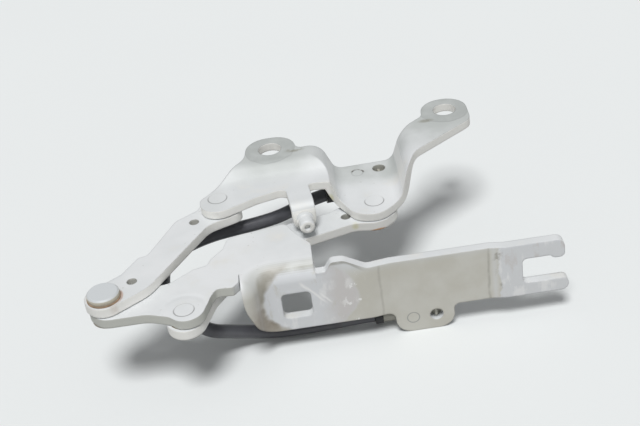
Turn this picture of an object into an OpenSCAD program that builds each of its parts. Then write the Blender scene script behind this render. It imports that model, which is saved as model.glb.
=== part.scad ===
// Bonnet hinge: a four-bar linkage of stamped steel plates with an earth lead.
// Origin: centre of the square body hole, on the seat face of the body flange.
// +X runs along the body flange to its fork, +Y is the lift direction, +Z is along the pivots.

/* [Plates] */
// Thickness of the body bracket
body_t = 5; // [4:0.1:6]
// Thickness of the bonnet bracket
bonnet_t = 4.5; // [4:0.1:5.5]
// Thickness of both links
link_t = 5; // [4:0.1:6]
// Gap between neighbouring plates, filled by the bush flanges
plate_gap = 0.5; // [0.4:0.05:1]
// Height of the arm's top face above the square hole's centre
arm_top = 23; // [21:0.5:27]

/* [Pivots] */
// Radius of the pivot rivet shanks
shank_r = 5; // [4:0.1:5.5]
// Wall of the pivot bushes
bush_wall = 1; // [0.6:0.1:1.5]
// Radial running clearance of a rivet in its bush
run_clear = 0.05; // [0.02:0.01:0.1]
// Radius of the closed rivet heads
head_r = 8; // [7:0.1:9]
// Thickness of the closed rivet heads
head_h = 2.5; // [2:0.1:3.5]
// Radial slack of the control link at the bonnet pivot
open_slack = 2.6; // [2.5:0.1:3]

/* [Body flange] */
// Outside radius of the bend between arm and flange
bend_r = 9.5; // [8:0.5:12]
// Distance from the square hole's centre to the fork's end
fork_x = 137; // [130:1:150]
// Width of the square hole and of the fork slot
slot_w = 15; // [12:0.5:16]
// Depth of the fork slot
slot_l = 23; // [18:1:28]
// Height of the flange above the square hole's centre, past the bend
flange_up = 16.2; // [15:0.2:19]
// Depth of the flange below the square hole's centre
flange_down = 14.8; // [13:0.2:18]
// Depth of the earth tab below the square hole's centre
tab_down = 28.3; // [26:0.1:32]
// Set-back of the flange between its two seats
joggle = 1.5; // [0.5:0.1:2.5]

/* [Bonnet ears] */
// Radius of the bonnet bolt holes
ear_hole_r = 6.25; // [5:0.05:7]
// Outside radius of the ears
ear_r = 12.3; // [11:0.1:14]
// Rise of the ears above the pivot tab
ear_rise = 6; // [4:0.5:8]

/* [Strut stud] */
// Radius of the stud's nose
stud_r = 3.9; // [3:0.1:4.3]
// Length of the stud in front of its tab
stud_l = 8.5; // [6:0.5:12]

/* [Earth lead] */
// Outside diameter of the lead
lead_d = 7.2; // [6:0.1:7.4]
// Thickness of the cable lugs
lug_t = 1.6; // [1.2:0.1:2]
// Outside radius of the lug barrels
barrel_r = 4.4; // [4.2:0.1:4.6]
// Radius of the conductor inside the barrels
strand_r = 2.9; // [2.5:0.1:3.2]
// Radius of the lug rivets
lug_rivet_r = 3.1; // [2.5:0.1:3.5]

/* [Hidden] */
$fn = 64;
arc_steps = 7;

// Heights of the stacked plates
arm_bottom = arm_top - body_t;
control_top = arm_bottom - plate_gap;
control_bottom = control_top - link_t;
main_bottom = arm_top + plate_gap;
main_top = main_bottom + link_t;
tab_bottom = main_top + plate_gap;
tab_top = tab_bottom + bonnet_t;
pan_bottom = arm_bottom;
pan_top = pan_bottom + bonnet_t;
ear_top = tab_top + ear_rise;

// Pivot axes, seen from above
main_body_axis = [-91, -9.5];
control_body_axis = [-53, -21];
main_bonnet_axis = [-34, 57.5];
control_bonnet_axis = [47, 50];

// Rivets and bushes
bush_in = shank_r + run_clear;
bush_out = bush_in + bush_wall;
face_clear = 0.1;
flange_t = plate_gap - face_clear;
flange_r = bush_out + 2;
washer_t = 0.8;
main_head_h = 3;
edge_r = 0.8;
rivet_break = 0.12;

// Body bracket: at its left end the bend turns towards the viewer in a valley, then back over a round rim
corner_x = -10;
corner_r = 10;
corner_turn = 60;
valley_axis = [corner_x, -corner_r];
rim_axis = valley_axis + (corner_r + bend_r) * [-sin(corner_turn), cos(corner_turn)];
rim_overlap = 5;
web_x = 11;
lip_x = web_x + 0.5;
lip_drop = 0.2;
notch_drop = 5.4;
prong_low = flange_down - slot_w / 2;
prong_high = flange_up - slot_w / 2;
nub = 1.8;
bend_z = arm_top - bend_r;
seat_end = [37, 48];
fork_joggle = [98, 106];

// Bonnet bracket: step, pan and wall along X, slope along Y
step_top_x = 23;
step_foot_x = 30;
wall_foot_x = 61;
wall_top_x = 67.5;
slope_foot_y = 67.5;
slope_top_y = 77;
slope_end_x = 44;
slope_high = ear_top + 0.05;
ear_1 = [-3.9, 90];
ear_2 = [94.2, 105];
bend_small = 6;
bend_large = 10;

// Strut tab, turned about the pivot direction
strut_at = [8.7, 50];
strut_yaw = 6;
strut_w = 12.2;
strut_front = -11.5;
strut_back = 7;
strut_inset = 0.02;
strut_bend_r = 5.5;
stud_z = 25;
strut_down = stud_z - strut_w / 2;
stud_collar_r = 4.7;
stud_collar_l = 3;
stud_shank_r = 3;
stud_recess_r = 1.6;
stud_recess_l = 1.6;

// Earth lead: fixing points of the two lugs and the route between their barrels
bonnet_lug_at = [41.3, 80.2];
bonnet_lug_yaw = 8;
bonnet_lug_way = [cos(bonnet_lug_yaw), sin(bonnet_lug_yaw)];
lug_pitch = 12;
body_lug_at = [57.3, -19.7];
lug_w = 13;
lug_front = 6;
lug_back = 19;
barrel_l = 13;
barrel_gap = 0.2;
strand_l = barrel_l - 1;
sleeve_t = 0.5;
sleeve_cover = 4;
tang_t = 1.4;
tang_w = 4.6;
tang_hole_r = 3.4;
flange_back = body_t + joggle;
bonnet_barrel_z = pan_bottom - barrel_r - barrel_gap;
body_barrel_y = flange_back + barrel_r + barrel_gap;
body_barrel_z = body_lug_at[1] - 2;
lead_reach = lug_front + barrel_l;
bonnet_lead_end = concat(bonnet_lug_at - lead_reach * bonnet_lug_way, [bonnet_barrel_z]);
body_lead_end = [body_lug_at[0] - lead_reach, body_barrel_y, body_barrel_z];
lead_upper_route = [
    [13, 73.5, 13.4], [5, 67.5, 13.7], [-5, 61.5, 14], [-16, 57.7, 14.3], [-28, 54.9, 14.6], [-40, 51.4, 15],
    [-51, 46.3, 15], [-59, 39.5, 15], [-64, 30.7, 15]
];
lead_middle = [-65.5, 21.5, 14.5];
lead_lower_route = [
    [-65, 13, 12], [-61, 5.5, 8], [-54, -0.5, 1.5], [-45, -1, -6.5], [-36, 4.5, -13.5],
    [-26, 9.5, -19.5], [-14, 11.5, -23], [0, 11.5, -23.5], [16, 11.5, -23], [30, 11.2, -22]
];
lead_sides = 12;

// Corner rounding: points are [x, y, radius]
function unit(v) = v / norm(v);
function flat(p) = [p[0], p[1]];
function turned(v) = [-v[1], v[0]];
function side_of(a, b) = a[0] * b[1] - a[1] * b[0];
function wrapped(a) = a > 180 ? a - 360 : a < -180 ? a + 360 : a;
function corner_arc(a, p, b, r) =
    let (u = unit(a - p), v = unit(b - p), half = acos(max(-1, min(1, u * v))) / 2)
    r <= 0 || half > 89.5 ? [p] :
    let (
        c = p + unit(u + v) * r / sin(half),
        s = p + u * r / tan(half) - c,
        e = p + v * r / tan(half) - c,
        from = atan2(s[1], s[0]),
        sweep = wrapped(atan2(e[1], e[0]) - from)
    )
    [for (i = [0:arc_steps]) c + r * [cos(from + sweep * i / arc_steps), sin(from + sweep * i / arc_steps)]];
function rounded(pts) = let (n = len(pts)) [
    for (i = [0:n - 1])
        each corner_arc(flat(pts[(i + n - 1) % n]), flat(pts[i]), flat(pts[(i + 1) % n]), pts[i][2])
];
function rounded_line(pts) = let (n = len(pts)) concat(
    [flat(pts[0])],
    [for (i = [1:n - 2]) each corner_arc(flat(pts[i - 1]), flat(pts[i]), flat(pts[i + 1]), pts[i][2])],
    [flat(pts[n - 1])]
);
// The same line, moved down by the sheet's thickness, with its bend radii kept concentric
function sheet_under(pts, t) = let (n = len(pts)) [
    for (i = [0:n - 1])
        let (
            before = i == 0 ? flat(pts[1]) - flat(pts[0]) : flat(pts[i]) - flat(pts[i - 1]),
            after = i == n - 1 ? before : flat(pts[i + 1]) - flat(pts[i]),
            m = turned(unit(before)),
            k = turned(unit(after)),
            bend = side_of(before, after)
        )
        [
            pts[i][0] - t * (m + k)[0] / (1 + m * k),
            pts[i][1] - t * (m + k)[1] / (1 + m * k),
            pts[i][2] == 0 ? 0 : max(0.6, pts[i][2] + (bend > 0 ? t : -t))
        ]
];

// A flat plate between two heights, from an outline of rounded corners
module plate(outline, low, high) {
    translate([0, 0, low])
        linear_extrude(high - low)
            polygon(rounded(outline));
}

// Everything below a line of [x, z], along Y
module below_along_y(line, floor_z) {
    reach = 200;
    ends = [[line[len(line) - 1][0], floor_z], [line[0][0], floor_z]];
    translate([0, reach, 0])
        rotate([90, 0, 0])
            linear_extrude(2 * reach)
                polygon(concat(line, ends));
}

// Everything below a line of [y, z], along X
module below_along_x(line, floor_z) {
    reach = 200;
    ends = [[line[len(line) - 1][0], floor_z], [line[0][0], floor_z]];
    translate([-reach, 0, 0])
        rotate([90, 0, 90])
            linear_extrude(2 * reach)
                polygon(concat(line, ends));
}

module hole_at(p, r, low, high) {
    translate([p[0], p[1], low - 1])
        cylinder(r = r, h = high - low + 2);
}

// Section of the body bracket across its bend, with the flange's seat face at x = 0
function bend_section() =
    let (bottom = -tab_down - 1, inner = bend_r - body_t) concat(
        [[0, bottom]],
        [for (i = [0:2 * arc_steps]) let (a = 180 - 90 * i / (2 * arc_steps))
            [bend_r + bend_r * cos(a), bend_z + bend_r * sin(a)]],
        [for (i = [0:2 * arc_steps]) let (a = 90 + 90 * i / (2 * arc_steps))
            [bend_r + inner * cos(a), bend_z + inner * sin(a)]],
        [[body_t, bottom]]
    );

function arm_outline() =
    let (
        reach = corner_r + bend_r,
        edge_steps = 2 * arc_steps,
        bend_edge = [for (i = [1:edge_steps]) let (a = 90 + corner_turn * (1 - i / edge_steps))
            [valley_axis[0] + reach * cos(a), valley_axis[1] + reach * sin(a), 0]]
    )
    concat(
        [
            [-103, -7.5, 9], [-93, -20.3, 9], [-71, -20.3, 20], [-60, -25, 9], [-53, -33, 8.5],
            [-44, -26.5, 9], [-40, -13.5, 12], [-37.2, -8, 3.2],
            [bend_edge[0][0] - 3.2, rim_axis[1] - bend_r + 0.9, 1.5], [bend_edge[0][0], rim_axis[1] - bend_r / 2, 1.5]
        ],
        bend_edge,
        [
            [web_x, bend_r, 0], [web_x, 19, 4], [3.5, 31, 6], [-1, 40.5, 3], [-31, 34.5, 5], [-33.5, 25.5, 6],
            [-40, 17.5, 4], [-41.5, 13, 3], [-49, 11, 6], [-60, 2.5, 10], [-72, 0.5, 15], [-93, 1.5, 9]
        ]
    );

function flange_outline() =
    let (half = slot_w / 2, slot_x = fork_x - slot_l)
    [
        [-26.4, 40, 0], [-25.3, 8, 30], [-21, -5, 22], [-15.5, -flange_down, 10], [48.5, -flange_down, 4],
        [48.5, -tab_down, 8],
        [78.5, -tab_down, 8], [78.5, -flange_down, 3], [fork_x, -flange_down, 0.5 * prong_low],
        [fork_x, -half, 0.4 * prong_low], [slot_x, -half, 2.5], [slot_x, half, 2.5], [fork_x - 9, half, 2],
        [fork_x - 7, half - nub, 2], [fork_x - 1.5, half - nub, 0.3 * prong_high],
        [fork_x - 1.5, flange_up, 0.5 * prong_high], [43, flange_up, 14], [36.5, flange_up, 8],
        [25.5, arm_top - lip_drop, 7], [19.5, arm_top - lip_drop, 3], [16.2, arm_top - notch_drop, 1.5],
        [web_x, arm_top - notch_drop, 1.2], [web_x, 40, 0]
    ];

function joggle_outline() = [
    [lip_x - 0.01, 0, 0], [seat_end[0], 0, 12], [seat_end[1], joggle, 12], [fork_joggle[0], joggle, 9],
    [fork_joggle[1], 0, 9], [fork_x + 1, 0, 0], [fork_x + 1, body_t, 0], [fork_joggle[1], body_t, 9],
    [fork_joggle[0], body_t + joggle, 9], [seat_end[1], body_t + joggle, 12], [seat_end[0], body_t, 12],
    [lip_x - 0.01, body_t, 0]
];

// The flange with its bend, before it is cut to its outline
module flange_blank() {
    translate([corner_x, 0, 0])
        rotate([90, 0, 90])
            linear_extrude(lip_x - corner_x)
                polygon(bend_section());
    translate([valley_axis[0], valley_axis[1], 0])
        rotate([0, 0, 90])
            rotate_extrude(angle = corner_turn)
                translate([corner_r, 0])
                    polygon(bend_section());
    translate([rim_axis[0], rim_axis[1], 0])
        rotate([0, 0, 270])
            rotate_extrude(angle = corner_turn + rim_overlap)
                polygon([for (p = bend_section()) [bend_r - p[0], p[1]]]);
    translate([0, 0, -tab_down - 1])
        linear_extrude(tab_down + arm_top + 2)
            polygon(rounded(joggle_outline()));
}

module flange_cut() {
    translate([0, 40, 0])
        rotate([90, 0, 0])
            linear_extrude(80)
                polygon(rounded(flange_outline()));
}

module square_hole() {
    half = slot_w / 2;
    translate([0, 40, 0])
        rotate([90, 0, 0])
            linear_extrude(80)
                polygon(rounded([[-half, -half, 2.5], [half, -half, 2.5], [half, half, 2.5], [-half, half, 2.5]]));
}

module body_bracket() {
    color("gainsboro")
        difference() {
            union() {
                plate(arm_outline(), arm_bottom, arm_top);
                intersection() {
                    flange_blank();
                    flange_cut();
                }
            }
            hole_at(main_body_axis, shank_r, arm_bottom, arm_top);
            hole_at(control_body_axis, shank_r, arm_bottom, arm_top);
            square_hole();
            along_flange(body_lug_at[0]) cylinder(r = lug_rivet_r, h = 20, center = true);
            along_flange(body_lug_at[0] + lug_pitch) cylinder(r = tang_hole_r, h = 20, center = true);
        }
}

// Places a child's Z axis across the flange, at the lug's height
module along_flange(x) {
    translate([x, flange_back - body_t / 2, body_lug_at[1]])
        rotate([-90, 0, 0])
            children();
}

function pan_line() = [
    [-90, ear_top, 0], [step_top_x, ear_top, bend_large], [step_foot_x, pan_top, bend_small],
    [wall_foot_x, pan_top, bend_small], [wall_top_x, ear_top, bend_large], [150, ear_top, 0]
];

function slope_line() = [
    [0, tab_top, 0], [slope_foot_y, tab_top, 12], [slope_top_y, slope_high, 9], [150, slope_high, 0]
];

// The two ears are half-round about their holes
function bonnet_outline() =
    let (ear_round = 0.98 * ear_r)
    [
        [-43.5, 38, 10], [-14, 52.8, 20], [-0.8, 56.5, 3], [5, 52.5, 0], [11.5, 52.5, 0], [14.9, 59.2, 3.8],
        [25, 57.5, 3.8], [31, 50, 10], [36.5, 40, 11], [49, 36.5, 11], [63.5, 50, 12], [72, 65.5, 14],
        [ear_2[0] + ear_r, ear_2[1] - 14, 9], [ear_2[0] + ear_r, ear_2[1] + ear_r, ear_round],
        [ear_2[0] - ear_r, ear_2[1] + ear_r, ear_round], [ear_2[0] - ear_r - 1, ear_2[1] - 3.5, 5],
        [66, 89.5, 8], [58, 89, 10], [24, 88, 8], [ear_1[0] + ear_r + 2, ear_1[1] - 2.5, 3.5],
        [ear_1[0] + ear_r, ear_1[1] + ear_r, ear_round], [ear_1[0] - ear_r, ear_1[1] + ear_r, ear_round],
        [ear_1[0] - ear_r - 2, ear_1[1] - 7, 14], [-34, 67.5, 14], [-43.3, 57.5, 5]
    ];

// The pressed sheet: between the top lines and the same lines moved in by its thickness
module bonnet_sheet() {
    under = sheet_under(pan_line(), bonnet_t);
    slope_under = sheet_under(slope_line(), bonnet_t);
    difference() {
        intersection() {
            below_along_y(rounded_line(pan_line()), 0);
            union() {
                below_along_x(rounded_line(slope_line()), 0);
                translate([slope_end_x, 0, 0]) cube([120, 150, ear_top + 10]);
            }
        }
        intersection() {
            below_along_y(rounded_line(under), -10);
            union() {
                below_along_x(rounded_line(slope_under), -10);
                translate([slope_end_x, 0, -10]) cube([120, 150, ear_top + 20]);
            }
        }
    }
}

// Puts children in the strut tab's own frame: x across the tab, y away from the viewer
module strut_frame() {
    translate([strut_at[0], strut_at[1], 0])
        rotate([0, 0, strut_yaw])
            children();
}

// The tab's root lies just inside the faces of the sheet
function strut_section() =
    let (
        inner = max(0.6, strut_bend_r - bonnet_t),
        high = tab_top - strut_inset,
        low = tab_bottom + strut_inset
    )
    rounded([
        [strut_back, high, 0], [strut_front, high, strut_bend_r], [strut_front, strut_down - 1, 0],
        [strut_front + bonnet_t, strut_down - 1, 0], [strut_front + bonnet_t, low, inner], [strut_back, low, 0]
    ]);

module strut_tab() {
    half = strut_w / 2;
    round_end = half - 0.2;
    intersection() {
        translate([-half, 0, 0])
            rotate([90, 0, 90])
                linear_extrude(strut_w)
                    polygon(strut_section());
        translate([0, 40, 0])
            rotate([90, 0, 0])
                linear_extrude(80)
                    polygon(rounded([
                        [-half, strut_down, round_end], [half, strut_down, round_end],
                        [half, tab_top + 5, 0], [-half, tab_top + 5, 0]
                    ]));
    }
}

module bonnet_bracket() {
    color("gainsboro")
        difference() {
            union() {
                intersection() {
                    bonnet_sheet();
                    plate(bonnet_outline(), 0, ear_top + 5);
                }
                strut_frame() strut_tab();
            }
            hole_at(main_bonnet_axis, shank_r, tab_bottom, tab_top);
            hole_at(control_bonnet_axis, shank_r, pan_bottom, pan_top);
            hole_at(ear_1, ear_hole_r, ear_top - bonnet_t, ear_top);
            hole_at(ear_2, ear_hole_r, ear_top - bonnet_t, ear_top);
            hole_at(bonnet_lug_at, lug_rivet_r, pan_bottom, pan_top);
            hole_at(bonnet_lug_at + lug_pitch * bonnet_lug_way, tang_hole_r, pan_bottom, pan_top);
            strut_frame()
                translate([0, strut_front, stud_z])
                    rotate([90, 0, 0])
                        cylinder(r = stud_shank_r, h = 20, center = true);
        }
}

module main_link() {
    outline = [
        [-105, -6.5, 9], [-92.5, -22, 9], [-69.5, -6, 25], [-40, 41, 14], [-22, 48.5, 6], [-23, 60, 6],
        [-31, 67.5, 7], [-42.5, 64, 5], [-45.5, 56.5, 3], [-57, 49, 9], [-71, 21.5, 3], [-75.5, 20.5, 3],
        [-83.5, 8, 4]
    ];
    tool_holes = [[-47.2, 45.8], [-77.9, 1]];
    color("whitesmoke")
        difference() {
            plate(outline, main_bottom, main_top);
            hole_at(main_body_axis, bush_out, main_bottom, main_top);
            hole_at(main_bonnet_axis, bush_out, main_bottom, main_top);
            for (p = tool_holes)
                hole_at(p, 2.5, main_bottom, main_top);
        }
}

module control_link() {
    outline = [
        [-65, -22, 10], [-53, -35.3, 8.5], [-44.5, -25.5, 8], [-38.5, -8.5, 12], [-16, 25, 16], [11, 32, 25],
        [35, 39.2, 12], [49, 36.3, 11], [60.5, 47, 11], [54.5, 62.5, 11], [38, 61, 9], [22, 52.3, 14],
        [-24, 42.5, 14], [-38, 26, 12], [-50, 2, 14]
    ];
    color("whitesmoke")
        difference() {
            plate(outline, control_bottom, control_top);
            hole_at(control_body_axis, bush_out, control_bottom, control_top);
            hole_at(control_bonnet_axis, shank_r + open_slack, control_bottom, control_top);
            hole_at([31, 46.5], 2.5, control_bottom, control_top);
        }
}

// A turned piece on a pivot axis, from a profile of [radius, height]
module turned_piece(axis, profile) {
    translate([axis[0], axis[1], 0])
        rotate_extrude()
            polygon(profile);
}

// A rivet with a flush upper end and a closed head below
function flush_rivet(top, under, r) = [
    [0, top], [shank_r - rivet_break, top], [shank_r, top - rivet_break], [shank_r, under], [r, under],
    [r, under - head_h + edge_r], [r - edge_r, under - head_h], [0, under - head_h]
];

// A bush sleeve from low to high, with its flange above or below
function flanged_bush(low, high, flange_low, flange_high) =
    flange_low < low ? [
        [bush_in, flange_low], [flange_r, flange_low], [flange_r, flange_high], [bush_out, flange_high],
        [bush_out, high], [bush_in, high]
    ] : [
        [bush_in, low], [bush_out, low], [bush_out, flange_low], [flange_r, flange_low],
        [flange_r, flange_high], [bush_in, flange_high]
    ];

module main_body_rivet() {
    under = main_top + face_clear + washer_t;
    tail = arm_bottom - head_h;
    color("silver")
        turned_piece(main_body_axis, [
            [0, tail], [head_r - edge_r, tail], [head_r, tail + edge_r], [head_r, arm_bottom], [shank_r, arm_bottom],
            [shank_r, under], [head_r, under], [head_r, under + main_head_h - edge_r],
            [head_r - edge_r, under + main_head_h], [0, under + main_head_h]
        ]);
}

module main_body_washer() {
    low = main_top + face_clear;
    color("sienna")
        turned_piece(main_body_axis, [
            [shank_r, low], [head_r + 0.3, low], [head_r + 0.3, low + washer_t], [shank_r, low + washer_t]
        ]);
}

module main_body_bush() {
    color("darkkhaki")
        turned_piece(main_body_axis, flanged_bush(main_bottom, main_top, main_bottom - flange_t, main_bottom));
}

module main_bonnet_rivet() {
    color("silver")
        turned_piece(main_bonnet_axis, flush_rivet(tab_top, main_bottom - face_clear, head_r));
}

module main_bonnet_bush() {
    color("darkkhaki")
        turned_piece(main_bonnet_axis, flanged_bush(main_bottom, main_top, main_top, main_top + flange_t));
}

module control_body_rivet() {
    color("silver")
        turned_piece(control_body_axis, flush_rivet(arm_top, control_bottom - face_clear, head_r));
}

module control_body_bush() {
    color("darkkhaki")
        turned_piece(control_body_axis, flanged_bush(control_bottom, control_top, control_top, control_top + flange_t));
}

module control_bonnet_rivet() {
    color("silver")
        turned_piece(control_bonnet_axis, flush_rivet(pan_top, control_bottom - face_clear, head_r + 2.2));
}

// The bonnet-side pivot of the control link has a plain washer round its shank
module control_bonnet_bush() {
    color("darkkhaki")
        turned_piece(control_bonnet_axis, [
            [shank_r, pan_bottom - flange_t], [flange_r, pan_bottom - flange_t], [flange_r, pan_bottom],
            [shank_r, pan_bottom]
        ]);
}

module strut_stud() {
    nose = stud_l;
    round_r = 1;
    color("gainsboro")
        strut_frame()
            translate([0, strut_front, stud_z])
                rotate([90, 0, 0])
                    rotate_extrude()
                        polygon(concat(
                            [
                                [0, -bonnet_t], [stud_shank_r, -bonnet_t], [stud_shank_r, 0], [stud_collar_r, 0],
                                [stud_collar_r, stud_collar_l - 0.6], [stud_collar_r - 0.6, stud_collar_l],
                                [stud_r, stud_collar_l]
                            ],
                            [for (i = [0:arc_steps]) let (a = 90 * i / arc_steps)
                                [stud_r - round_r + round_r * cos(a), nose - round_r + round_r * sin(a)]],
                            [[stud_recess_r, nose], [stud_recess_r - 0.5, nose - stud_recess_l], [0, nose - stud_recess_l]]
                        ));
}

// One ring of the lead's tube, square to the route
function route_tangent(pts, i, first, last) =
    i == 0 ? unit(first) : i == len(pts) - 1 ? unit(last) : unit(pts[i + 1] - pts[i - 1]);
function ring(c, t, r) =
    let (s = unit(cross(t, [0, 0, 1])), u = cross(s, t))
    [for (k = [0:lead_sides - 1]) c + r * (cos(360 * k / lead_sides) * s + sin(360 * k / lead_sides) * u)];

module tube(pts, r, first, last) {
    n = len(pts);
    m = lead_sides;
    points = [for (i = [0:n - 1]) each ring(pts[i], route_tangent(pts, i, first, last), r)];
    walls = [for (i = [0:n - 2], k = [0:m - 1])
        each [
            [i * m + k, i * m + (k + 1) % m, (i + 1) * m + k],
            [i * m + (k + 1) % m, (i + 1) * m + (k + 1) % m, (i + 1) * m + k]
        ]];
    caps = [[for (k = [m - 1:-1:0]) k], [for (k = [0:m - 1]) (n - 1) * m + k]];
    polyhedron(points, concat(walls, caps));
}

// The lead is in two lengths that meet beside the main link
lead_turn = lead_lower_route[0] - lead_upper_route[len(lead_upper_route) - 1];

module earth_lead_upper() {
    away = concat(-bonnet_lug_way, [0]);
    color([0.16, 0.16, 0.17])
        tube(concat([bonnet_lead_end], lead_upper_route, [lead_middle]), lead_d / 2, away, lead_turn);
}

module earth_lead_lower() {
    color([0.16, 0.16, 0.17])
        tube(concat([lead_middle], lead_lower_route, [body_lead_end]), lead_d / 2, lead_turn, [1, 0, 0]);
}

// A cable lug in its own frame: tongue under z = 0, barrel along -x, rivet at the origin
module lug(drop, sideways) {
    half = lug_w / 2;
    tongue = [
        [-lug_front - 1, -barrel_r + 0.4, 0.5], [-lug_front + 3, -half, 3], [lug_back, -half, 5], [lug_back, half, 5],
        [-lug_front + 3, half, 3], [-lug_front - 1, barrel_r - 0.4, 0.5]
    ];
    difference() {
        union() {
            plate(tongue, -lug_t, 0);
            translate([-lug_front, sideways, -drop])
                rotate([0, -90, 0])
                    cylinder(r = barrel_r, h = barrel_l);
            translate([lug_pitch - tang_t / 2, -tang_w / 2, -lug_t])
                cube([tang_t, tang_w, lug_t + 2.6]);
        }
        translate([0, 0, -lug_t - 1]) cylinder(r = lug_rivet_r, h = lug_t + 2);
        translate([-lug_front - barrel_l + strand_l, sideways, -drop])
            rotate([0, -90, 0])
                cylinder(r = strand_r, h = barrel_l + 1);
    }
}

module bonnet_lug_frame() {
    translate([bonnet_lug_at[0], bonnet_lug_at[1], pan_bottom])
        rotate([0, 0, bonnet_lug_yaw])
            children();
}

// Turned so that the lug's upper face lies on the back of the flange
module body_lug_frame() {
    translate([body_lug_at[0], flange_back, body_lug_at[1]])
        rotate([90, 0, 0])
            children();
}

module strands() {
    translate([-lug_front - barrel_l + strand_l, 0, 0])
        rotate([0, -90, 0])
            cylinder(r = strand_r, h = strand_l);
}

module sleeve() {
    start = -lug_front - barrel_l + sleeve_cover;
    translate([start, 0, 0])
        rotate([0, -90, 0])
            difference() {
                cylinder(r = barrel_r + sleeve_t, h = sleeve_cover);
                translate([0, 0, -1]) cylinder(r = barrel_r, h = sleeve_cover + 2);
            }
}

module lug_rivet(plate_t) {
    cap_r = lug_rivet_r + 1.6;
    rotate_extrude()
        polygon([
            [0, -lug_t - 1.4], [cap_r - 0.5, -lug_t - 1.4], [cap_r, -lug_t - 0.9], [cap_r, -lug_t],
            [lug_rivet_r, -lug_t], [lug_rivet_r, plate_t], [0, plate_t]
        ]);
}

module bonnet_lug() {
    color("darkgray") bonnet_lug_frame() lug(barrel_r + barrel_gap, 0);
}
module bonnet_lug_rivet() {
    color("silver") bonnet_lug_frame() lug_rivet(bonnet_t);
}
module bonnet_lug_strands() {
    color("peru") bonnet_lug_frame() translate([0, 0, -barrel_r - barrel_gap]) strands();
}
module bonnet_lug_sleeve() {
    color("dimgray") bonnet_lug_frame() translate([0, 0, -barrel_r - barrel_gap]) sleeve();
}
module body_lug() {
    color("darkgray") body_lug_frame() lug(barrel_r + barrel_gap, body_barrel_z - body_lug_at[1]);
}
module body_lug_rivet() {
    color("silver") body_lug_frame() lug_rivet(body_t);
}
module body_lug_strands() {
    color("peru") body_lug_frame() translate([0, body_barrel_z - body_lug_at[1], -barrel_r - barrel_gap]) strands();
}
module body_lug_sleeve() {
    color("dimgray") body_lug_frame() translate([0, body_barrel_z - body_lug_at[1], -barrel_r - barrel_gap]) sleeve();
}

body_bracket();
bonnet_bracket();
main_link();
control_link();
main_body_rivet();
main_body_bush();
main_body_washer();
main_bonnet_rivet();
main_bonnet_bush();
control_body_rivet();
control_body_bush();
control_bonnet_rivet();
control_bonnet_bush();
strut_stud();
earth_lead_upper();
earth_lead_lower();
bonnet_lug();
bonnet_lug_rivet();
bonnet_lug_strands();
bonnet_lug_sleeve();
body_lug();
body_lug_rivet();
body_lug_strands();
body_lug_sleeve();
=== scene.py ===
"""Looks of the bonnet hinge: camera, light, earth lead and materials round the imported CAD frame."""

import math

import bpy
from mathutils import Matrix, Vector


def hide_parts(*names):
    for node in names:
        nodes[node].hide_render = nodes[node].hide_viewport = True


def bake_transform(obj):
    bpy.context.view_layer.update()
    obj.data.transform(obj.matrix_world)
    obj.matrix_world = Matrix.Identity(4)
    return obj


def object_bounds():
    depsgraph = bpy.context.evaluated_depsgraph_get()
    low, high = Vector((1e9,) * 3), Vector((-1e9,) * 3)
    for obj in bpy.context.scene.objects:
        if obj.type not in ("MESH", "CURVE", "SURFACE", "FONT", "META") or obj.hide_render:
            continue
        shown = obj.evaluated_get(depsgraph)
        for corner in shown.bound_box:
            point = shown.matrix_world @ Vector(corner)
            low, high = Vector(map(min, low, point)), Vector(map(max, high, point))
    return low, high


MM = 0.001

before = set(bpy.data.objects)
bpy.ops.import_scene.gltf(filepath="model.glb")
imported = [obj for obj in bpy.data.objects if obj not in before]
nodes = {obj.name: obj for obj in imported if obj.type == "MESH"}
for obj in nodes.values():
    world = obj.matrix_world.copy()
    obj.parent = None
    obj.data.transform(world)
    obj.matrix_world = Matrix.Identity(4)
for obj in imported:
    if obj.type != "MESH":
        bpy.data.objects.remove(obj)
cad_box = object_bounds()

# Camera: the photograph's angle in the part's own frame, in mm and in pixels of the 640 x 426 picture
ELEVATION = math.radians(33.0)
ROLL = math.radians(8.5)
DISTANCE = 640.0
PIXELS_PER_MM = 2.0
ORIGIN_PIXEL = (297.4, 305.2)
IMAGE_SIZE = (640, 426)
SENSOR_MM = 36.0
CLIP_START_M = 0.01

# Light: a large soft key from above and the viewer's side, and an even sky
KEY_DIRECTION = (-0.06, -0.40, 0.91)
KEY_STRENGTH = 2.5
KEY_SOFTNESS = math.radians(20.0)
SKY_COLOUR = (0.32, 0.32, 0.3232, 1)
SKY_STRENGTH = 1.0

# Floor: half its width in metres, its roughness, and the noise in its colour as scale and detail
FLOOR_HALF_M = 6.0
FLOOR_ROUGH = 0.9
PAPER_NOISE = (3, 2)

# Directions, and the stretches that measure a distance from an axis along Z or along Y
UP = (0, 0, 1)
FRONT = (0, -1, 0)
ROUND_Z = (1, 1, 0)
ROUND_Y = (1, 0, 1)

# Pivots, rivets and holes of the CAD, in mm
MAIN_BODY = (-91.0, -9.5, 0.0)
CONTROL_BODY = (-53.0, -21.0, 0.0)
MAIN_BONNET = (-34.0, 57.5, 0.0)
CONTROL_BONNET = (47.0, 50.0, 0.0)
EARS = ((-3.9, 90.0, 0.0), (94.2, 105.0, 0.0))
BONNET_LUG = (41.3, 80.2, 0.0)
BODY_LUG = (57.3, 0.0, -19.7)
BONNET_TANG = (53.2, 81.9, 0.0)
TANG_HOLE_R = 3.4
MAIN_HOLES = ((-47.2, 45.8, 0.0), (-77.9, 1.0, 0.0))
CONTROL_HOLE = (31.0, 46.5, 0.0)
SMALL_HOLE_R = 2.5
SHANK_R = 5.0
LUG_RIVET_R = 3.1

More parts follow.
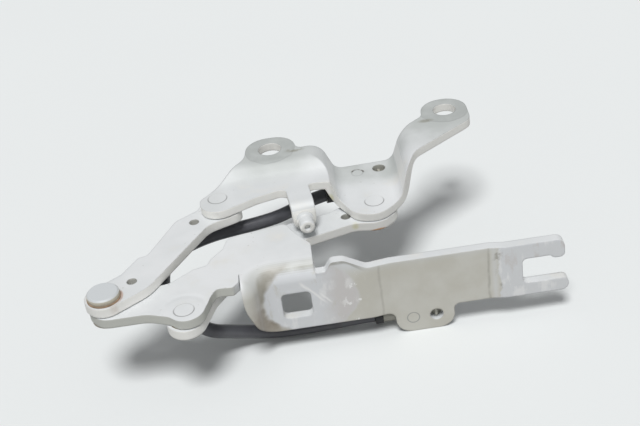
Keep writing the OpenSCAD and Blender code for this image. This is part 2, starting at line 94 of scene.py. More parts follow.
# Earth lead: the route of the CAD solids between the two barrels, in mm
LEAD_RADIUS = 3.6
LEAD_UPPER = (
    (22.49, 77.56, 13.4), (13, 73.5, 13.4), (5, 67.5, 13.7), (-5, 61.5, 14), (-16, 57.7, 14.3),
    (-28, 54.9, 14.6), (-40, 51.4, 15), (-51, 46.3, 15), (-59, 39.5, 15), (-64, 30.7, 15),
)
LEAD_MIDDLE = (-65.5, 21.5, 14.5)
LEAD_LOWER = (
    (-65, 13, 12), (-61, 5.5, 8), (-54, -0.5, 1.5), (-45, -1, -6.5), (-36, 4.5, -13.5), (-26, 9.5, -19.5),
    (-14, 11.5, -23), (0, 11.5, -23.5), (16, 11.5, -23), (30, 11.2, -22), (38.3, 11.1, -21.7),
)
LEAD_SIDES = 28
LEAD_STEPS = 10


def place_camera():
    """The camera looks at the part from the photograph's side, rolled as the photograph is."""
    side = Vector((1, 0, 0))
    rise = Vector((0, math.sin(ELEVATION), math.cos(ELEVATION)))
    back = Vector((0, -math.cos(ELEVATION), math.sin(ELEVATION)))
    right = side * math.cos(ROLL) - rise * math.sin(ROLL)
    up = side * math.sin(ROLL) + rise * math.cos(ROLL)
    off_x = (ORIGIN_PIXEL[0] - IMAGE_SIZE[0] / 2) / PIXELS_PER_MM
    off_y = (IMAGE_SIZE[1] / 2 - ORIGIN_PIXEL[1]) / PIXELS_PER_MM
    place = (back * DISTANCE - right * off_x - up * off_y) * MM
    data = bpy.data.cameras.new("camera")
    data.sensor_fit = "HORIZONTAL"
    data.sensor_width = SENSOR_MM
    data.lens = SENSOR_MM * PIXELS_PER_MM * DISTANCE / IMAGE_SIZE[0]
    data.clip_start = CLIP_START_M
    camera = bpy.data.objects.new("camera", data)
    camera.matrix_world = Matrix(
        (
            (right.x, up.x, back.x, place.x),
            (right.y, up.y, back.y, place.y),
            (right.z, up.z, back.z, place.z),
            (0, 0, 0, 1),
        )
    )
    bpy.context.scene.collection.objects.link(camera)
    bpy.context.scene.camera = camera


def smooth_route(points, steps):
    """A smooth curve through every point, with so many steps from each point to the next."""
    pts = [Vector(p) for p in points]
    pts = [pts[0] * 2 - pts[1]] + pts + [pts[-1] * 2 - pts[-2]]
    line = []
    for i in range(1, len(pts) - 2):
        a, b, c, d = pts[i - 1 : i + 3]
        for k in range(steps):
            t = k / steps
            first = (c - a) * t
            second = (2 * a - 5 * b + 4 * c - d) * t * t
            third = (3 * b - a - 3 * c + d) * t * t * t
            line.append(0.5 * (2 * b + first + second + third))
    line.append(pts[-2])
    return line


def tube(name, line, tangents):
    """A piece of the lead: rings square to its line, closed at both ends."""
    verts = []
    faces = []
    for point, tangent in zip(line, tangents):
        across = tangent.cross(Vector(UP)).normalized()
        over = across.cross(tangent)
        for k in range(LEAD_SIDES):
            a = 2 * math.pi * k / LEAD_SIDES
            verts.append((point + LEAD_RADIUS * (math.cos(a) * across + math.sin(a) * over)) * MM)
    rings = len(line)
    for i in range(rings - 1):
        low = i * LEAD_SIDES
        high = low + LEAD_SIDES
        for k in range(LEAD_SIDES):
            n = (k + 1) % LEAD_SIDES
            faces.append((low + k, high + k, high + n, low + n))
    faces.append(tuple(range(LEAD_SIDES)))
    faces.append(tuple((rings - 1) * LEAD_SIDES + k for k in reversed(range(LEAD_SIDES))))
    mesh = bpy.data.meshes.new(name)
    mesh.from_pydata(verts, [], faces)
    mesh.update()
    for polygon in mesh.polygons:
        polygon.use_smooth = len(polygon.vertices) == 4
    obj = bpy.data.objects.new(name, mesh)
    bpy.context.scene.collection.objects.link(obj)
    return obj


def make_lead():
    """The lead in two pieces that meet beside the main link."""
    line = smooth_route((*LEAD_UPPER, LEAD_MIDDLE, *LEAD_LOWER), LEAD_STEPS)
    last = len(line) - 1
    tangents = [(line[min(i + 1, last)] - line[max(i - 1, 0)]).normalized() for i in range(last + 1)]
    cut = len(LEAD_UPPER) * LEAD_STEPS
    upper = tube("lead_jacket_upper", line[: cut + 1], tangents[: cut + 1])
    lower = tube("lead_jacket_lower", line[cut:], tangents[cut:])
    return upper, lower


# Sockets of the mix node for colours, by number: its sockets for other types have the same names
MIX_FACTOR = 0
MIX_A = 6
MIX_B = 7
MIX_RESULT = 2

BEVEL_SAMPLES = 4


class Graph:
    """A material's nodes, written as nested calls."""

    def __init__(self, name):
        self.material = bpy.data.materials.new(name)
        self.material.use_nodes = True
        self.tree = self.material.node_tree
        self.shader = self.tree.nodes["Principled BSDF"]
        self.place = self.add("ShaderNodeTexCoord").outputs["Object"]
        axes = self.add("ShaderNodeSeparateXYZ")
        self.join(self.place, axes.inputs[0])
        self.x, self.y, self.z = axes.outputs

    def add(self, kind):
        """A new node."""
        return self.tree.nodes.new(kind)

    def join(self, value, socket):
        """Links an output, or writes a constant, into a socket."""
        if isinstance(value, bpy.types.NodeSocket):
            self.tree.links.new(value, socket)
        else:
            socket.default_value = value

    def math(self, operation, a, b=0.0, c=0.0):
        """One operation on up to three values."""
        n = self.add("ShaderNodeMath")
        n.operation = operation
        for value, socket in zip((a, b, c), n.inputs):
            self.join(value, socket)
        return n.outputs[0]

    def times(self, *values):
        """The product of all values."""
        out = values[0]
        for v in values[1:]:
            out = self.math("MULTIPLY", out, v)
        return out

    def span(self, value, low, high):
        """A value from 0 to 1 as one from low to high."""
        return self.math("MULTIPLY_ADD", value, high - low, low)

    def step(self, value, low, high):
        """0 below low, 1 above high, smooth between; low may be above high."""
        n = self.add("ShaderNodeMapRange")
        n.interpolation_type = "SMOOTHSTEP"
        self.join(value, n.inputs["Value"])
        n.inputs["From Min"].default_value = min(low, high)
        n.inputs["From Max"].default_value = max(low, high)
        n.inputs["To Min"].default_value = 0.0 if low < high else 1.0
        n.inputs["To Max"].default_value = 1.0 if low < high else 0.0
        return n.outputs["Result"]

    def ramp(self, value, low, high):
        """A step on a coordinate or distance, with its bounds in mm."""
        return self.step(value, low * MM, high * MM)

    def between(self, value, rise, fall):
        """1 over a stretch of a coordinate, with the bounds of its rise and of its fall in mm."""
        return self.times(self.ramp(value, *rise), self.ramp(value, *fall))

    def noise(self, scale, detail=4.0, rough=0.55, stretch=(1, 1, 1)):
        """Noise with features of about 1/scale metres."""
        m = self.add("ShaderNodeMapping")
        m.inputs["Scale"].default_value = stretch
        self.join(self.place, m.inputs["Vector"])
        n = self.add("ShaderNodeTexNoise")
        n.inputs["Scale"].default_value = scale
        n.inputs["Detail"].default_value = detail
        n.inputs["Roughness"].default_value = rough
        self.join(m.outputs[0], n.inputs["Vector"])
        return n.outputs["Fac"]

    def patches(self, scale, low, high, *shape):
        """Patches of noise, from where it passes low to where it passes high."""
        return self.step(self.noise(scale, *shape), low, high)

    def shaken(self, value, *waves):
        """A value in metres moved by noise: each wave is a scale and an amount in mm, half of it each way."""
        for scale, amount in waves:
            wave = self.math("SUBTRACT", self.noise(scale), 0.5)
            value = self.math("ADD", value, self.times(wave, amount * MM))
        return value

    def distance(self, centre, stretch=(1, 1, 1)):
        """Distance in metres from a point given in mm, with each axis weighed by stretch."""
        m = self.add("ShaderNodeMapping")
        m.inputs["Scale"].default_value = stretch
        m.inputs["Location"].default_value = [-c * s * MM for c, s in zip(centre, stretch)]
        self.join(self.place, m.inputs["Vector"])
        n = self.add("ShaderNodeVectorMath")
        n.operation = "LENGTH"
        self.join(m.outputs[0], n.inputs[0])
        return n.outputs["Value"]

    def facing(self, axis):
        """How far the surface faces along an axis, from -1 to 1."""
        surface = self.add("ShaderNodeNewGeometry")
        n = self.add("ShaderNodeVectorMath")
        n.operation = "DOT_PRODUCT"
        self.join(surface.outputs["Normal"], n.inputs[0])
        n.inputs[1].default_value = axis
        return n.outputs["Value"]

    def spot(self, centre, radius, soft, stretch=(1, 1, 1)):
        """1 within a radius in mm of a point in mm, falling to 0 over a soft edge."""
        return self.ramp(self.distance(centre, stretch), radius + soft, radius - soft)

    def line(self, value, place, width):
        """1 where a coordinate is at a place, falling to 0 at half the width on both sides; in mm."""
        off = self.math("SUBTRACT", value, place * MM)
        return self.ramp(self.math("ABSOLUTE", off), width / 2, 0.0)

    def ring(self, centre, radius, width, stretch=ROUND_Z):
        """1 on a circle about a point, falling to 0 at half the width on both sides; in mm."""
        return self.line(self.distance(centre, stretch), radius, width)

    def mix(self, factor, a, b):
        """Colour a where the factor is 0, colour b where it is 1."""
        n = self.add("ShaderNodeMix")
        n.data_type = "RGBA"
        self.join(factor, n.inputs[MIX_FACTOR])
        self.join(a, n.inputs[MIX_A])
        self.join(b, n.inputs[MIX_B])
        return n.outputs[MIX_RESULT]

    def stain(self, colour, mask, stain, share):
        """A colour with a share of a stain laid over it where the mask is."""
        return self.mix(self.times(mask, share), colour, stain)

    def relief(self, *parts):
        """A height in metres from pairs of mask and depth in mm."""
        out = None
        for mask, depth in parts:
            part = self.times(mask, depth * MM)
            out = part if out is None else self.math("ADD", out, part)
        return out

    def finish(self, colour, rough, height=None, edge=0.0, sharp=None):
        """Sets colour, roughness and a bump from a height in metres.

        Edges are rounded by so many mm, but not where sharp is 1.
        """
        self.join(colour, self.shader.inputs["Base Color"])
        self.join(rough, self.shader.inputs["Roughness"])
        normal = None
        if edge:
            b = self.add("ShaderNodeBevel")
            b.samples = BEVEL_SAMPLES
            radius = edge * MM
            if sharp is not None:
                radius = self.times(self.math("SUBTRACT", 1.0, sharp), radius)
            self.join(radius, b.inputs["Radius"])
            normal = b.outputs[0]
        if height is not None:
            b = self.add("ShaderNodeBump")
            b.inputs["Strength"].default_value = 1.0
            b.inputs["Distance"].default_value = 1.0
            self.join(height, b.inputs["Height"])
            if normal is not None:
                self.join(normal, b.inputs["Normal"])
            normal = b.outputs[0]
        if normal is not None:
            self.join(normal, self.shader.inputs["Normal"])
        return self.material


def tone(r, g, b):
    """A colour given in display values, 0 to 255, as the linear value a shader takes."""
    out = []
    for v in (r, g, b):
        v = v / 255
        out.append(v / 12.92 if v <= 0.04045 else ((v + 0.055) / 1.055) ** 2.4)
    return (*out, 1.0)


# Paints, and the tones of painted light and shade on the flange's front, the bend, upright faces and hole
# walls
SILVER = tone(226, 228, 229)
SILVER_SHADE = tone(215, 218, 219)
SILVER_WARM = tone(223, 222, 217)
PRIMER = tone(210, 213, 213)
PRIMER_WORN = tone(188, 192, 190)
EAR_PAD = tone(172, 176, 174)
HEAD = tone(205, 209, 211)
HEAD_RIM = tone(204, 198, 180)
FLANGE_TONE_AND_SHADE = tone(213, 212, 204)
FLANGE_SHADE = tone(205, 203, 193)
BEND_SHADE = tone(181, 183, 176)
UPRIGHT_LIGHT = tone(246, 245, 240)
ARM_UPRIGHT_SHADE = tone(192, 193, 185)
HOLE_WALL_SHADE = tone(128, 129, 119)

# Marks and dirt, and the tones of painted shade and highlight in grooves, creases and streaks
GRIME = tone(160, 150, 137)
GRIME_DARK = tone(112, 104, 86)
DARK_MARK = tone(138, 136, 122)
SMUDGE_AND_SHADE = tone(158, 155, 146)
IMPRINT = tone(226, 229, 233)
IMPRINT_ROSE = tone(210, 206, 203)
SCRATCH_AND_HIGHLIGHT = tone(250, 250, 249)
GROOVE_SHADE = tone(146, 147, 146)
DARK = tone(74, 66, 54)
RUST = tone(168, 118, 78)
EDGE_RUST = tone(214, 160, 104)
WAX = tone(214, 209, 150)

# Pairs of colours of the plain finishes and of the floor, and the tone of the light the floor throws back
WASHER_RUST = (tone(188, 158, 130), tone(152, 132, 110))
BRONZE = (tone(128, 112, 78), tone(100, 88, 62))
TIN = (tone(188, 186, 176), tone(160, 158, 147))
COPPER = (tone(190, 120, 80), tone(150, 92, 60))
SLEEVE = (tone(44, 44, 45), tone(34, 34, 35))
JACKET = (tone(92, 93, 98), tone(76, 77, 82))
PAPER = (tone(226, 229, 229), tone(229, 232, 232))
FLOOR_BOUNCE = tone(160, 161, 160)

# How far a surface turns towards a direction before it counts as that side: the start, and where it is full
UPRIGHT = (0.5, 0.2)
FRONT_FACE = (0.3, 0.9)
TOP_FACE = (0.6, 0.95)
UPPER_FACE = (0.2, 0.55)

# Depths of the relief and rounding of the edges, in mm
FINE_DEPTH = 0.05
GROOVE_DEPTH = -0.12
EDGE_ROUND = 1.0

# Here and below a noise is its scale, detail, roughness and stretch; patches are a noise's scale, the levels
# where they start and are full, and then the rest; a wave is a scale and an amount in mm

# Silver paint
BLOTCH = (28, 3)
BLOTCH_LEVELS = (0.35, 0.68)
WARM_PATCHES = (55, 0.52, 0.75)
SPECKS = (420, 0.735, 0.77, 2, 0.4)
PAINT_GRAIN = (600, 3)
PAINT_ROUGH = (0.46, 0.66)
PAINT_METAL = 0.1


def silver_paint(g):
    """The paint that all plates share: its colour, roughness and fine texture."""
    blotch = g.noise(*BLOTCH)
    colour = g.mix(g.step(blotch, *BLOTCH_LEVELS), SILVER, SILVER_SHADE)
    colour = g.stain(colour, g.patches(*WARM_PATCHES), SILVER_WARM, share=0.7)
    colour = g.stain(colour, g.patches(*SPECKS), SMUDGE_AND_SHADE, share=0.3)
    g.shader.inputs["Metallic"].default_value = PAINT_METAL
    return colour, g.span(blotch, *PAINT_ROUGH), g.noise(*PAINT_GRAIN)


def upright_light_and_shade(g, colour, edge=UPRIGHT_LIGHT, where=1.0):
    """The upright faces of a plate, with a tone over them that stands in for light: painted light by default,
    a darker painted shade where another tone is given.
    """
    level = g.math("ABSOLUTE", g.facing(UP))
    return g.stain(colour, g.times(g.step(level, *UPRIGHT), where), edge, share=0.85)


# Flush rivets and hole walls, in mm, both with painted shade; the strength of the painted shade in a rivet's
# groove runs from the far side to the viewer's side
GROOVE_WIDTH = 1.1
GROOVE_NEAR = (4, -2)
GROOVE_STRENGTH = (0.05, 0.90)
FLUSH_R = SHANK_R + 1.6
LUG_FLUSH_R = LUG_RIVET_R + 1.3
FLUSH_SOFT = 0.4
WALL_MARGIN = 0.15
WALL_SOFT = 0.1


def groove_with_shade(g, colour, axis):
    """The fine groove round a flush rivet, with painted shade in it that is darker on the viewer's side."""
    near = g.ramp(g.math("SUBTRACT", g.y, axis[1] * MM), *GROOVE_NEAR)
    line = g.times(g.ring(axis, SHANK_R, GROOVE_WIDTH), g.span(near, *GROOVE_STRENGTH))
    return g.stain(colour, line, GROOVE_SHADE, share=1.0), line


def flush_rivet(g, axis):
    """1 over a rivet that is flush with its plate, and just round it."""
    return g.spot(axis, FLUSH_R, FLUSH_SOFT, ROUND_Z)


def shade_hole_wall(g, colour, axis, radius, share):
    """Painted shade on the wall of a hole along Z."""
    return g.stain(colour, g.spot(axis, radius + WALL_MARGIN, WALL_SOFT, ROUND_Z), HOLE_WALL_SHADE, share)


# Flange: where its warmer tone, darkened in part as painted shade on its front face, starts and is full, in
# mm
FLANGE_TOP = (21, 12)
FLANGE_LEFT = (-34, -26)
FLANGE_PATCHES = (45, 0.35, 0.65)

# Joggles: the band of painted light past the second one, then the place and strength of each line of painted
# shade, in mm along X
JOGGLE_LIGHT = 100.2
JOGGLE_LIGHT_WIDTH = 5.0
JOGGLES = ((42.4, 0.35), (97.3, 0.5))
JOGGLE_WIDTH = 2.2
JOGGLE_WAVE = (60, 3.0)
JOGGLE_BREAKS = (160, 0.1, 0.5, 3)

# Bare mark at the fork, in mm along X: its wavy border and the dirt on it
FORK_WAVES = ((90, 7.0), (300, 4.0))
FORK_MARK = (101.8, 103.2)
FORK_FLOW = (130, 5, 0.6, (1, 1, 0.4))
FLOW_LIGHT = (0.54, 0.64)
FLOW_ROSE = (0.46, 0.36)
FORK_RIM = 102.0
FORK_RIM_WIDTH = 4.0
FORK_RIM_PATCHES = (190, 0.48, 0.62)


def flange_finish(g, colour, front):
    """The upright flange's front: a warmer tone darkened in part as painted shade, painted shade at its two
    joggles with a band of painted light past the second, and the bare mark at its fork.
    """
    low = g.times(front, g.ramp(g.z, *FLANGE_TOP), g.ramp(g.x, *FLANGE_LEFT))
    sheet = g.mix(g.patches(*FLANGE_PATCHES), FLANGE_TONE_AND_SHADE, FLANGE_SHADE)
    colour = g.mix(low, colour, sheet)
    # A band of painted light past the second joggle, then lines of painted shade at both joggles
    light = g.line(g.x, JOGGLE_LIGHT, JOGGLE_LIGHT_WIDTH)
    colour = g.stain(colour, g.times(light, low), SILVER, share=0.5)
    wavy = g.shaken(g.x, JOGGLE_WAVE)
    for place, share in JOGGLES:
        crease = g.times(g.line(wavy, place, JOGGLE_WIDTH), low, g.patches(*JOGGLE_BREAKS))
        colour = g.stain(colour, crease, SMUDGE_AND_SHADE, share)
    fork = g.shaken(g.x, *FORK_WAVES)
    mark = g.times(g.ramp(fork, *FORK_MARK), front)
    colour = g.stain(colour, mark, IMPRINT, share=0.8)
    flow = g.noise(*FORK_FLOW)
    colour = g.stain(colour, g.times(mark, g.step(flow, *FLOW_LIGHT)), SCRATCH_AND_HIGHLIGHT, share=0.5)
    colour = g.stain(colour, g.times(mark, g.step(flow, *FLOW_ROSE)), IMPRINT_ROSE, share=0.6)
    rim = g.times(g.line(fork, FORK_RIM, FORK_RIM_WIDTH), front)
    colour = g.stain(colour, g.times(rim, g.patches(*FORK_RIM_PATCHES)), SMUDGE_AND_SHADE, share=0.7)
    return colour, low


# Seat imprint round the square hole: a wavy oval, in mm, with a rosy right side and rubbed patches
SEAT_CENTRE = (6.9, 0, 2.2)
SEAT_STRETCH = (1, 0, 1.16)
SEAT_WAVES = ((70, 6.0), (260, 2.0))
SEAT_EDGE = (25.5, 22.5)
SEAT_FACE = (0.66, 0.90)
ROSE_WAVE = (70, 16.0)
ROSE_X = (10, 24)
SEAT_RUB = (120, 5, 0.6, (1, 1, 0.5))
RUB_LIGHT = (0.55, 0.68)
RUB_DARK = (0.45, 0.34)

# Grime beside the seat: its border at the imprint, how far out it goes, and where it fades, in mm
GRIME_INNER = (22.2, 24.6)
GRIME_OUTER = (35.0, 26.8)
GRIME_TURN = (0.25, 0.60)
GRIME_SIDE = (14, -8)
GRIME_LOW = (14, -2)
GRIME_STRENGTH = (0.4, 1.0)
GRIME_PATCHES = (60, 0.1, 0.5, 3)
GRIME_CORE = (28.5, 25.0)
GRIME_CORE_PATCHES = (150, 0.42, 0.70, 5)

# Flecks on the right of the seat, and slanting streaks of painted highlight as offset, start, end and width,
# in mm
FLECK_X = ((20, 27), (36, 32))
FLECKS = (230, 0.585, 0.63, 4, 0.6, (1, 1, 0.7))
SLANT = 0.8
HIGHLIGHT_STREAKS = ((13.4, -10, -2, 3.6), (13.9, -4, 14, 2.6), (16.4, 7, 18, 2.2))
STREAK_WAVE = (250, 1.6)
STREAK_START_SOFT = 2
STREAK_END_SOFT = 3


def seat_grime(g, colour, oval, seat, turn):
    """The grime in a band along the left of the seat, stronger towards its lower end."""
    band = g.times(g.ramp(seat, *GRIME_INNER), g.ramp(oval, *GRIME_OUTER), g.step(turn, *GRIME_TURN))
    side = g.ramp(g.math("MULTIPLY_ADD", g.z, -SLANT, g.x), *GRIME_SIDE)
    band = g.times(band, side, g.span(g.ramp(g.z, *GRIME_LOW), *GRIME_STRENGTH))
    colour = g.stain(colour, g.times(band, g.patches(*GRIME_PATCHES)), GRIME, share=0.8)
    dark = g.times(band, g.ramp(oval, *GRIME_CORE), g.patches(*GRIME_CORE_PATCHES))
    return g.stain(colour, dark, GRIME_DARK, share=0.4)


def highlight_streaks(g, colour, front):
    """Streaks of painted highlight that slant down to the right past the square hole."""
    across = g.shaken(g.math("MULTIPLY_ADD", g.z, SLANT, g.x), STREAK_WAVE)
    along = g.math("SUBTRACT", g.x, g.z)
    for offset, start, end, width in HIGHLIGHT_STREAKS:
        rise = (start - STREAK_START_SOFT, start + STREAK_START_SOFT)
        fall = (end + STREAK_END_SOFT, end - STREAK_END_SOFT)
        streak = g.times(g.line(across, offset, width), g.between(along, rise, fall), front)
        colour = g.stain(colour, streak, SCRATCH_AND_HIGHLIGHT, share=0.75)
    return colour


def seat_marks(g, colour, front, low):
    """The seat round the square hole: its bare imprint, the grime beside it, flecks and streaks of painted
    highlight.
    """
    turn = g.facing(FRONT)
    oval = g.distance(SEAT_CENTRE, SEAT_STRETCH)
    seat = g.shaken(oval, *SEAT_WAVES)
    pad = g.times(g.ramp(seat, *SEAT_EDGE), g.step(turn, *SEAT_FACE))
    colour = g.stain(colour, pad, IMPRINT, share=0.85)
    rose = g.times(pad, g.ramp(g.shaken(g.x, ROSE_WAVE), *ROSE_X))
    colour = g.stain(colour, rose, IMPRINT_ROSE, share=0.8)
    rubbed = g.noise(*SEAT_RUB)
    colour = g.stain(colour, g.times(pad, g.step(rubbed, *RUB_LIGHT)), SCRATCH_AND_HIGHLIGHT, share=0.45)
    colour = g.stain(colour, g.times(pad, g.step(rubbed, *RUB_DARK)), FLANGE_SHADE, share=0.5)
    colour = seat_grime(g, colour, oval, seat, turn)
    fleck = g.times(g.between(g.x, *FLECK_X), low, g.patches(*FLECKS))
    colour = g.stain(colour, fleck, SCRATCH_AND_HIGHLIGHT, share=0.8)
    return highlight_streaks(g, colour, front), pad


# Painted shade in the crease at the foot of the bend: the turn of the surface there, then its reach, in mm
FOOT_TURN_START = (0.50, 0.72)
FOOT_TURN_END = (0.96, 0.88)
FOOT_Z = (4, 9)
FOOT_X = ((-20.5, -17.2), (11.8, 11.2))
FOOT_PATCHES = (110, 0.25, 0.6)

# A darker line under the flange's upper edge, which rises past the notch and falls again to the joggle, in mm
LIP_RISE = 5.2
LIP_RISE_X = (16.2, 19.5)
LIP_FALL = 6.6
LIP_FALL_X = (25, 37)
LIP_Z = (15.2, 16.6)
LIP_X = ((10.8, 11.6), (37, 29))
LIP_PATCHES = (140, 0.2, 0.55)


def dark_lines(g, colour, front):
    """Painted shade in the crease along the foot of the bend, and a darker line under the flange's upper edge
    from the web to the joggle.
    """
    turn = g.facing(FRONT)
    foot = g.times(g.step(turn, *FOOT_TURN_START), g.step(turn, *FOOT_TURN_END))
    foot = g.times(foot, g.ramp(g.z, *FOOT_Z), g.between(g.x, *FOOT_X))
    colour = g.stain(colour, g.times(foot, g.patches(*FOOT_PATCHES)), DARK_MARK, share=0.6)
    rise = g.times(g.ramp(g.x, *LIP_RISE_X), LIP_RISE * MM)
    fall = g.times(g.ramp(g.x, *LIP_FALL_X), -LIP_FALL * MM)
    below = g.math("SUBTRACT", g.z, g.math("ADD", rise, fall))
    edge = g.times(g.ramp(below, *LIP_Z), g.between(g.x, *LIP_X))
    return g.stain(colour, g.times(edge, front, g.patches(*LIP_PATCHES)), DARK_MARK, share=0.6)


# Body bracket: the reach of the painted shade on the arm's upright faces and on the bend, and the dish round
# the control pivot, in mm
ARM_UPRIGHT_SHADE_X = (-27, -30)
BEND_TURN = (0.08, 0.45)
BEND_Z = (9, 14)
BEND_X = ((-26.5, -22.5), (12.5, 11.5))
LUG_GROOVE_WIDTH = 0.9
DISH_R = 11.0
DISH_WIDTH = 5.0
DISH_DEPTH = -0.22
SEAT_GRAIN = 260
SEAT_DEPTH = 0.12


def paint_body():
    """The body bracket, and the rivets that are flush with it."""
    g = Graph("paint_body")
    colour, rough, fine = silver_paint(g)
    turn = g.facing(FRONT)
    front = g.step(turn, *FRONT_FACE)
    # Painted shade on the arm's upright faces, left of the flange
    colour = upright_light_and_shade(g, colour, ARM_UPRIGHT_SHADE, g.ramp(g.x, *ARM_UPRIGHT_SHADE_X))
    # Painted shade on the bend, where it turns from the top towards the front
    bend_shade = g.times(g.step(turn, *BEND_TURN), g.ramp(g.z, *BEND_Z), g.between(g.x, *BEND_X))
    colour = g.stain(colour, bend_shade, BEND_SHADE, share=0.5)
    colour, low = flange_finish(g, colour, front)
    colour = dark_lines(g, colour, front)
    colour, pad = seat_marks(g, colour, front, low)
    colour, lip = groove_with_shade(g, colour, CONTROL_BODY)
    # Painted shade in the groove round the lug's flush rivet
    lug = g.ring(BODY_LUG, LUG_RIVET_R, LUG_GROOVE_WIDTH, ROUND_Y)
    colour = g.stain(colour, g.times(lug, front), GROOVE_SHADE, share=0.8)
    dish = g.times(g.ring(CONTROL_BODY, DISH_R, DISH_WIDTH), g.step(g.facing(UP), *TOP_FACE))
    worn = g.times(pad, g.noise(SEAT_GRAIN))
    height = g.relief((fine, FINE_DEPTH), (dish, DISH_DEPTH), (lip, GROOVE_DEPTH), (worn, SEAT_DEPTH))
    lug_flush = g.spot(BODY_LUG, LUG_FLUSH_R, FLUSH_SOFT, ROUND_Y)
    flush = g.math("MAXIMUM", flush_rivet(g, CONTROL_BODY), lug_flush)
    return g.finish(colour, rough, height, edge=EDGE_ROUND, sharp=flush)


# Bonnet bracket: where the grey primer shows through towards the ears and at the main pivot, in mm
PRIMER_PATCHES = (38, 0.35, 0.7, 3)
PRIMER_WAVE = (40, 10)
PRIMER_Y = (62, 76)
PRIMER_X = (-24, -38)

# Pads of the ears and the shade round them, in mm
EAR_SHADE_R = 21
EAR_SHADE_SOFT = 9
EAR_PAD_WAVE = (90, 3.0)
EAR_PAD_EDGE = (14.2, 13.4)
EAR_PAD_PATCHES = (90, 0.2, 0.6)
EAR_PAD_DEPTH = -0.2

# Scuffs below the ears, the chipped paint round the lug's rivet and two specks of wax, in mm
SCUFFS = (((9.3, 85.5, 0), 2.6), ((82.4, 95.6, 0), 2.2))
SCUFF_SOFT = 1.2
SCUFF_STRETCH = (0.6, 1.3, 0)
SCUFF_PATCHES = (240, 0.36, 0.56)
CHIP_R = LUG_RIVET_R + 0.2
CHIP_WIDTH = 1.7
CHIP_PATCHES = (300, 0.36, 0.52, 3)
CHIP_FAR = (-1.0, 0.8)
BONNET_WAX = (((-32.6, 40.0, 31.0), 1.5, 0.9), ((25.9, 58.0, 24.0), 2.0, 1.2))


def paint_bonnet():
    """The bonnet bracket with its stud, and the rivets that are flush with it."""
    g = Graph("paint_bonnet")
    colour, rough, fine = silver_paint(g)
    up = g.step(g.facing(UP), *UPPER_FACE)
    colour = upright_light_and_shade(g, colour)
    grey = g.mix(g.patches(*PRIMER_PATCHES), PRIMER, PRIMER_WORN)
    fade = g.ramp(g.shaken(g.y, PRIMER_WAVE), *PRIMER_Y)
    colour = g.mix(g.times(fade, up), colour, grey)
    colour = g.stain(colour, g.times(g.ramp(g.x, *PRIMER_X), up), PRIMER, share=0.7)
    height = [(fine, FINE_DEPTH)]
    for ear in EARS:
        shade = g.times(g.spot(ear, EAR_SHADE_R, EAR_SHADE_SOFT, ROUND_Z), up)
        colour = g.stain(colour, shade, PRIMER_WORN, share=0.75)
        pad = g.times(g.ramp(g.shaken(g.distance(ear, ROUND_Z), EAR_PAD_WAVE), *EAR_PAD_EDGE), up)
        colour = g.stain(colour, g.times(pad, g.patches(*EAR_PAD_PATCHES)), EAR_PAD, share=0.8)
        height.append((pad, EAR_PAD_DEPTH))
    for place, size in SCUFFS:
        scuff = g.times(g.spot(place, size, SCUFF_SOFT, SCUFF_STRETCH), g.patches(*SCUFF_PATCHES), up)
        colour = g.stain(colour, scuff, DARK_MARK, share=0.65)
    for axis in (MAIN_BONNET, CONTROL_BONNET):
        colour, lip = groove_with_shade(g, colour, axis)
        height.append((lip, GROOVE_DEPTH))
    chip = g.times(g.ring(BONNET_LUG, CHIP_R, CHIP_WIDTH), g.patches(*CHIP_PATCHES), up)
    far_side = g.ramp(g.math("SUBTRACT", g.y, BONNET_LUG[1] * MM), *CHIP_FAR)
    colour = g.stain(colour, g.times(chip, far_side), DARK, share=0.9)
    colour = shade_hole_wall(g, colour, BONNET_TANG, TANG_HOLE_R, share=0.7)
    for place, size, soft in BONNET_WAX:
        colour = g.stain(colour, g.spot(place, size, soft), WAX, share=0.6)
    flush = g.math("MAXIMUM", flush_rivet(g, MAIN_BONNET), flush_rivet(g, CONTROL_BONNET))
    return g.finish(colour, rough, g.relief(*height), edge=EDGE_ROUND, sharp=flush)


# Rust on the main link, on the right of its pivot's head, in mm
RUST_R = 8.8
RUST_WIDTH = 2.0
RUST_PATCHES = (170, 0.40, 0.6)
RUST_Y = (2, -6)
RUST_X = (-89, -85)


def paint_main():
    """The main link, with a little rust beside its pivot's head."""
    g = Graph("paint_main")
    colour, rough, fine = silver_paint(g)
    colour = upright_light_and_shade(g, colour)
    rust = g.times(g.ring(MAIN_BODY, RUST_R, RUST_WIDTH), g.patches(*RUST_PATCHES))
    rust = g.times(rust, g.ramp(g.y, *RUST_Y), g.ramp(g.x, *RUST_X))
    colour = g.stain(colour, rust, RUST, share=0.6)
    for place in MAIN_HOLES:
        colour = shade_hole_wall(g, colour, place, SMALL_HOLE_R, share=0.45)
    return g.finish(colour, rough, g.relief((fine, FINE_DEPTH)), edge=EDGE_ROUND)


# A speck of wax and one of rust on the control link's front edge: place, size and softness in mm, stretch
CONTROL_WAX = ((35.2, 39.3, 15.6), 1.7, 1.1)
CONTROL_RUST = ((47.3, 37.0, 12.4), 2.4, 1.0, (0.6, 1, 2.4))


def paint_control():
    """The control link, with its specks of wax and rust."""
    g = Graph("paint_control")
    colour, rough, fine = silver_paint(g)
    colour = upright_light_and_shade(g, colour)
    colour = shade_hole_wall(g, colour, CONTROL_HOLE, SMALL_HOLE_R, share=0.65)
    colour = g.stain(colour, g.spot(*CONTROL_WAX), WAX, share=0.5)
    colour = g.stain(colour, g.spot(*CONTROL_RUST), EDGE_RUST, share=0.9)
    return g.finish(colour, rough, g.relief((fine, FINE_DEPTH)), edge=EDGE_ROUND)


# Head of the main pivot: heights of its top and of its grimy seam, in mm
HEAD_Z = (31.2, 32.0)
SEAM_WAVE = (200, 1.2)
SEAM_Z = (31.0, 29.8)
SEAM_PATCHES = (150, 0.3, 0.55)
HEAD_ROUND = 0.5


